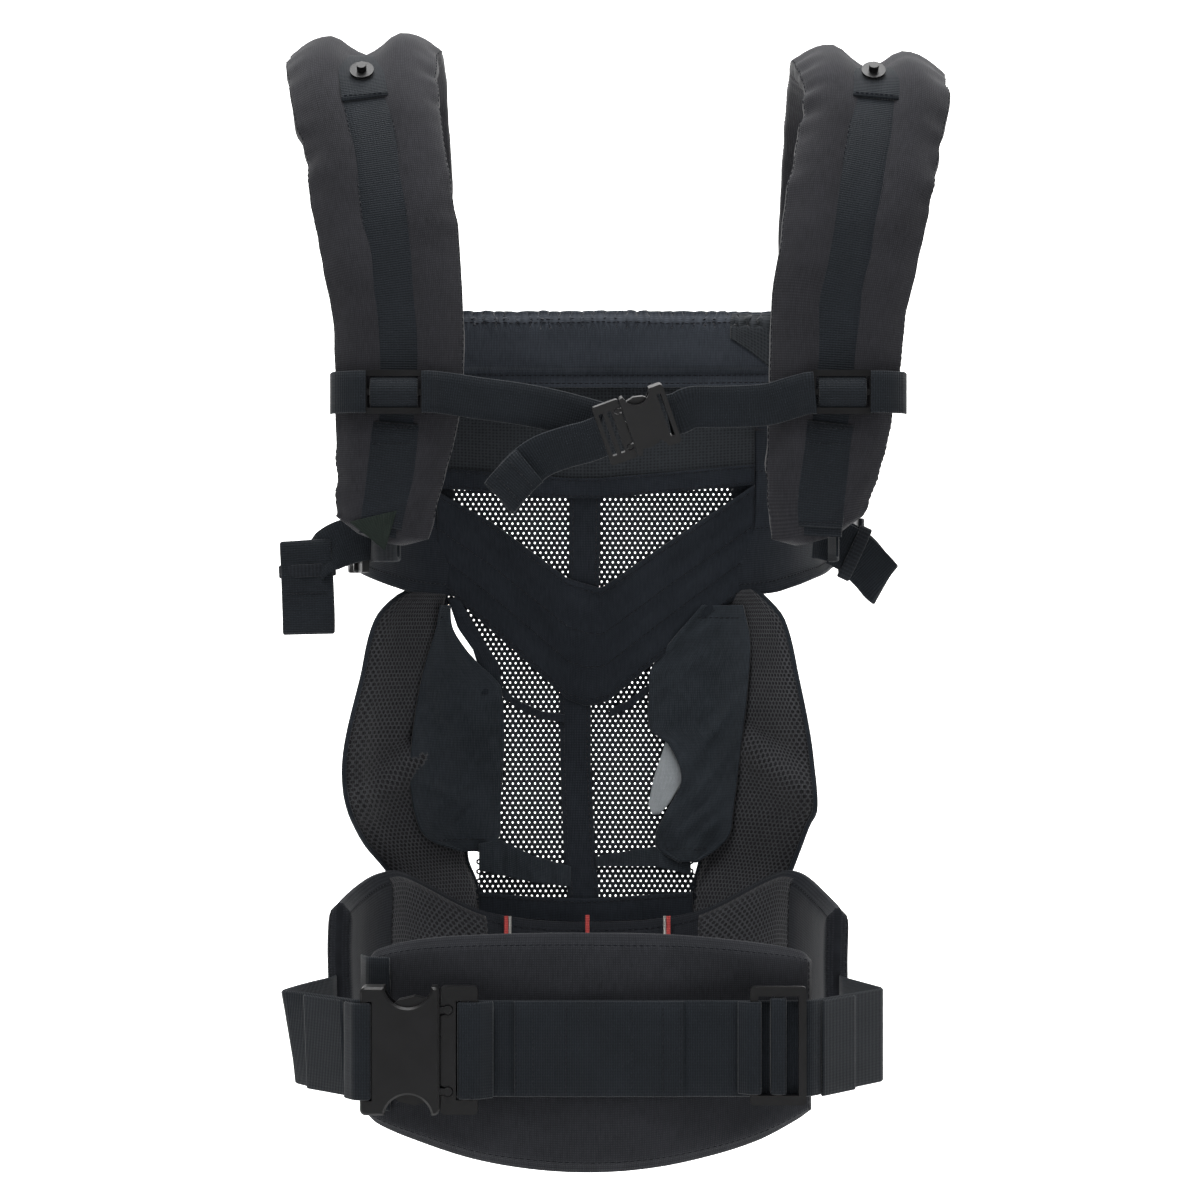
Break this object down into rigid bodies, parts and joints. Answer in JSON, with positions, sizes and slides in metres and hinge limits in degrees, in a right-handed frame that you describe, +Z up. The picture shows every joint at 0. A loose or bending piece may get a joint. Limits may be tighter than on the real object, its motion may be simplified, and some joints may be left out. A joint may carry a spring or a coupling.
{
  "type": "soft baby carrier",
  "caption": "Soft structured baby carrier with padded shoulder straps, mesh panel, side wings, head support, waistband, lumbar pad and release buckles.",
  "frame": {"origin": "centre of the waist loop, at the height of the middle of the waist webbing", "axes": "+Z up, +Y from the wearer's back towards the baby panel, +X to the right seen from behind the wearer"},
  "size_m": [0.362, 0.2716, 0.611],
  "materials": {
    "navy_cotton": "plain woven navy cotton",
    "strap_twill": "charcoal woven cotton, padded",
    "spacer_mesh": "padded knitted spacer mesh",
    "open_mesh": "open knitted mesh",
    "webbing": "ribbed polyester webbing",
    "elastic": "woven elastic",
    "foam": "open-cell foam",
    "buckle_plastic": "satin black moulded acetal",
    "stud_plastic": "black moulded plastic",
    "marker_tape": "red woven tape"
  },
  "bodies": {
    "carrier": {"centre_strip": "navy_cotton", "mesh_panel": "open_mesh", "seat_cross_bands": "navy_cotton", "seat_hem": "navy_cotton", "seat_leaf_left": "navy_cotton", "seat_leaf_right": "navy_cotton", "seat_marker_tabs": "marker_tape", "shoulder_strap_cover_left": "strap_twill", "shoulder_strap_cover_right": "strap_twill", "shoulder_strap_foam_left": "foam", "shoulder_strap_foam_right": "foam", "side_wing_left": "spacer_mesh", "side_wing_right": "spacer_mesh", "strap_end_webbings": "webbing", "strap_studs": "stud_plastic", "strap_webbing_left": "webbing", "strap_webbing_right": "webbing", "underarm_housing_left": "buckle_plastic", "underarm_housing_right": "buckle_plastic", "upper_band": "navy_cotton", "v_yoke": "navy_cotton", "waist_buckle_housing": "buckle_plastic", "waist_webbing_left": "webbing", "waist_webbing_right": "webbing", "waistband_cover": "navy_cotton", "waistband_foam": "foam", "wing_webbings": "webbing", "yoke_wing_left": "navy_cotton", "yoke_wing_right": "navy_cotton"},
    "head_support": {"head_support_cover": "navy_cotton", "head_support_foam": "foam"},
    "chest_strap": {"chest_slider_left": "buckle_plastic", "chest_slider_right": "buckle_plastic", "chest_slider_loops": "webbing", "chest_webbing_left": "webbing", "chest_webbing_right": "webbing", "chest_edge_tabs": "webbing", "chest_buckle_housing": "buckle_plastic"},
    "chest_tongue": {"chest_buckle_tongue": "buckle_plastic", "chest_buckle_webbing_tail": "webbing"},
    "chest_latch_upper": {"chest_buckle_latch_upper": "buckle_plastic"},
    "chest_latch_lower": {"chest_buckle_latch_lower": "buckle_plastic"},
    "waist_tongue": {"waist_buckle_tongue": "buckle_plastic", "waist_buckle_loop": "webbing"},
    "waist_latch_upper": {"waist_buckle_latch_upper": "buckle_plastic"},
    "waist_latch_lower": {"waist_buckle_latch_lower": "buckle_plastic"},
    "belt_triglide": {"waist_triglide": "buckle_plastic", "waist_triglide_loop": "webbing"},
    "lumbar_pad": {"lumbar_pad_cover": "navy_cotton", "lumbar_pad_foam": "foam"},
    "underarm_tongue_left": {"underarm_tongue_left": "buckle_plastic", "strap_tail_left": "webbing", "tail_keeper_left": "elastic"},
    "underarm_latch_upper_left": {"underarm_latch_upper_left": "buckle_plastic"},
    "underarm_latch_lower_left": {"underarm_latch_lower_left": "buckle_plastic"},
    "underarm_tongue_right": {"underarm_tongue_right": "buckle_plastic", "strap_tail_right": "webbing", "tail_keeper_right": "elastic"},
    "underarm_latch_upper_right": {"underarm_latch_upper_right": "buckle_plastic"},
    "underarm_latch_lower_right": {"underarm_latch_lower_right": "buckle_plastic"}
  },
  "joints": [
    {"name": "head_support_fold", "type": "hinge", "parent": "carrier", "child": "head_support", "pos_m": [0, 0.1255, 0.366], "axis": [-1, 0, 0], "range_deg": [0, 160]},
    {"name": "chest_strap_height", "type": "slide", "parent": "carrier", "child": "chest_strap", "axis": [0, 0, 1], "range_m": [-0.02, 0.018]},
    {"name": "belt_triglide_slide", "type": "slide", "parent": "carrier", "child": "belt_triglide", "axis": [1, 0, 0], "range_m": [-0.025, 0]},
    {"name": "lumbar_pad_slide", "type": "slide", "parent": "carrier", "child": "lumbar_pad", "axis": [1, 0, 0], "range_m": [-0.012, 0.012]},
    {"name": "waist_buckle_release", "type": "slide", "parent": "carrier", "child": "waist_tongue", "axis": [1, 0, 0], "range_m": [0, 0.03], "deforming": ["waist_buckle_latch_upper", "waist_buckle_latch_lower"]},
    {"name": "waist_latch_upper_squeeze", "type": "hinge", "parent": "waist_tongue", "child": "waist_latch_upper", "pos_m": [-0.0728, -0.1235, 0.02402], "axis": [0, -1, 0], "range_deg": [0, 13], "stiffness_Nm_per_rad": 0.03},
    {"name": "waist_latch_lower_squeeze", "type": "hinge", "parent": "waist_tongue", "child": "waist_latch_lower", "pos_m": [-0.0728, -0.1235, -0.01802], "axis": [0, 1, 0], "range_deg": [0, 13], "stiffness_Nm_per_rad": 0.03},
    {"name": "chest_buckle_release", "type": "slide", "parent": "chest_strap", "child": "chest_tongue", "axis": [-0.9397, 0, -0.342], "range_m": [0, 0.018], "deforming": ["chest_buckle_latch_upper", "chest_buckle_latch_lower"]},
    {"name": "chest_latch_upper_squeeze", "type": "hinge", "parent": "chest_tongue", "child": "chest_latch_upper", "pos_m": [0.01439, -0.11359, 0.33323], "axis": [-0.0885, 0.9659, 0.2432], "range_deg": [0, 13], "stiffness_Nm_per_rad": 0.03},
    {"name": "chest_latch_lower_squeeze", "type": "hinge", "parent": "chest_tongue", "child": "chest_latch_lower", "pos_m": [0.02099, -0.10841, 0.31508], "axis": [0.0885, -0.9659, -0.2432], "range_deg": [0, 13], "stiffness_Nm_per_rad": 0.03},
    {"name": "underarm_buckle_release_left", "type": "slide", "parent": "carrier", "child": "underarm_tongue_left", "axis": [0.2425, -0.9701, 0], "range_m": [0, 0.017], "deforming": ["underarm_latch_upper_left", "underarm_latch_lower_left"]},
    {"name": "underarm_latch_upper_left_squeeze", "type": "hinge", "parent": "underarm_tongue_left", "child": "underarm_latch_upper_left", "pos_m": [-0.1249, -0.02839, 0.27933], "axis": [-0.9701, -0.2425, 0], "range_deg": [0, 13], "stiffness_Nm_per_rad": 0.03},
    {"name": "underarm_latch_lower_left_squeeze", "type": "hinge", "parent": "underarm_tongue_left", "child": "underarm_latch_lower_left", "pos_m": [-0.1249, -0.02839, 0.25667], "axis": [0.9701, 0.2425, 0], "range_deg": [0, 13], "stiffness_Nm_per_rad": 0.03},
    {"name": "underarm_buckle_release_right", "type": "slide", "parent": "carrier", "child": "underarm_tongue_right", "axis": [-0.2425, -0.9701, 0], "range_m": [0, 0.017], "deforming": ["underarm_latch_upper_right", "underarm_latch_lower_right"]},
    {"name": "underarm_latch_upper_right_squeeze", "type": "hinge", "parent": "underarm_tongue_right", "child": "underarm_latch_upper_right", "pos_m": [0.1399, -0.02839, 0.27933], "axis": [-0.9701, 0.2425, 0], "range_deg": [0, 13], "stiffness_Nm_per_rad": 0.03},
    {"name": "underarm_latch_lower_right_squeeze", "type": "hinge", "parent": "underarm_tongue_right", "child": "underarm_latch_lower_right", "pos_m": [0.1399, -0.02839, 0.25667], "axis": [0.9701, -0.2425, 0], "range_deg": [0, 13], "stiffness_Nm_per_rad": 0.03}
  ],
  "couplings": [
    {"joint": "waist_latch_lower_squeeze", "follows": "waist_latch_upper_squeeze", "ratio": 1},
    {"joint": "chest_latch_lower_squeeze", "follows": "chest_latch_upper_squeeze", "ratio": 1},
    {"joint": "underarm_latch_lower_left_squeeze", "follows": "underarm_latch_upper_left_squeeze", "ratio": 1},
    {"joint": "underarm_latch_lower_right_squeeze", "follows": "underarm_latch_upper_right_squeeze", "ratio": 1}
  ]
}
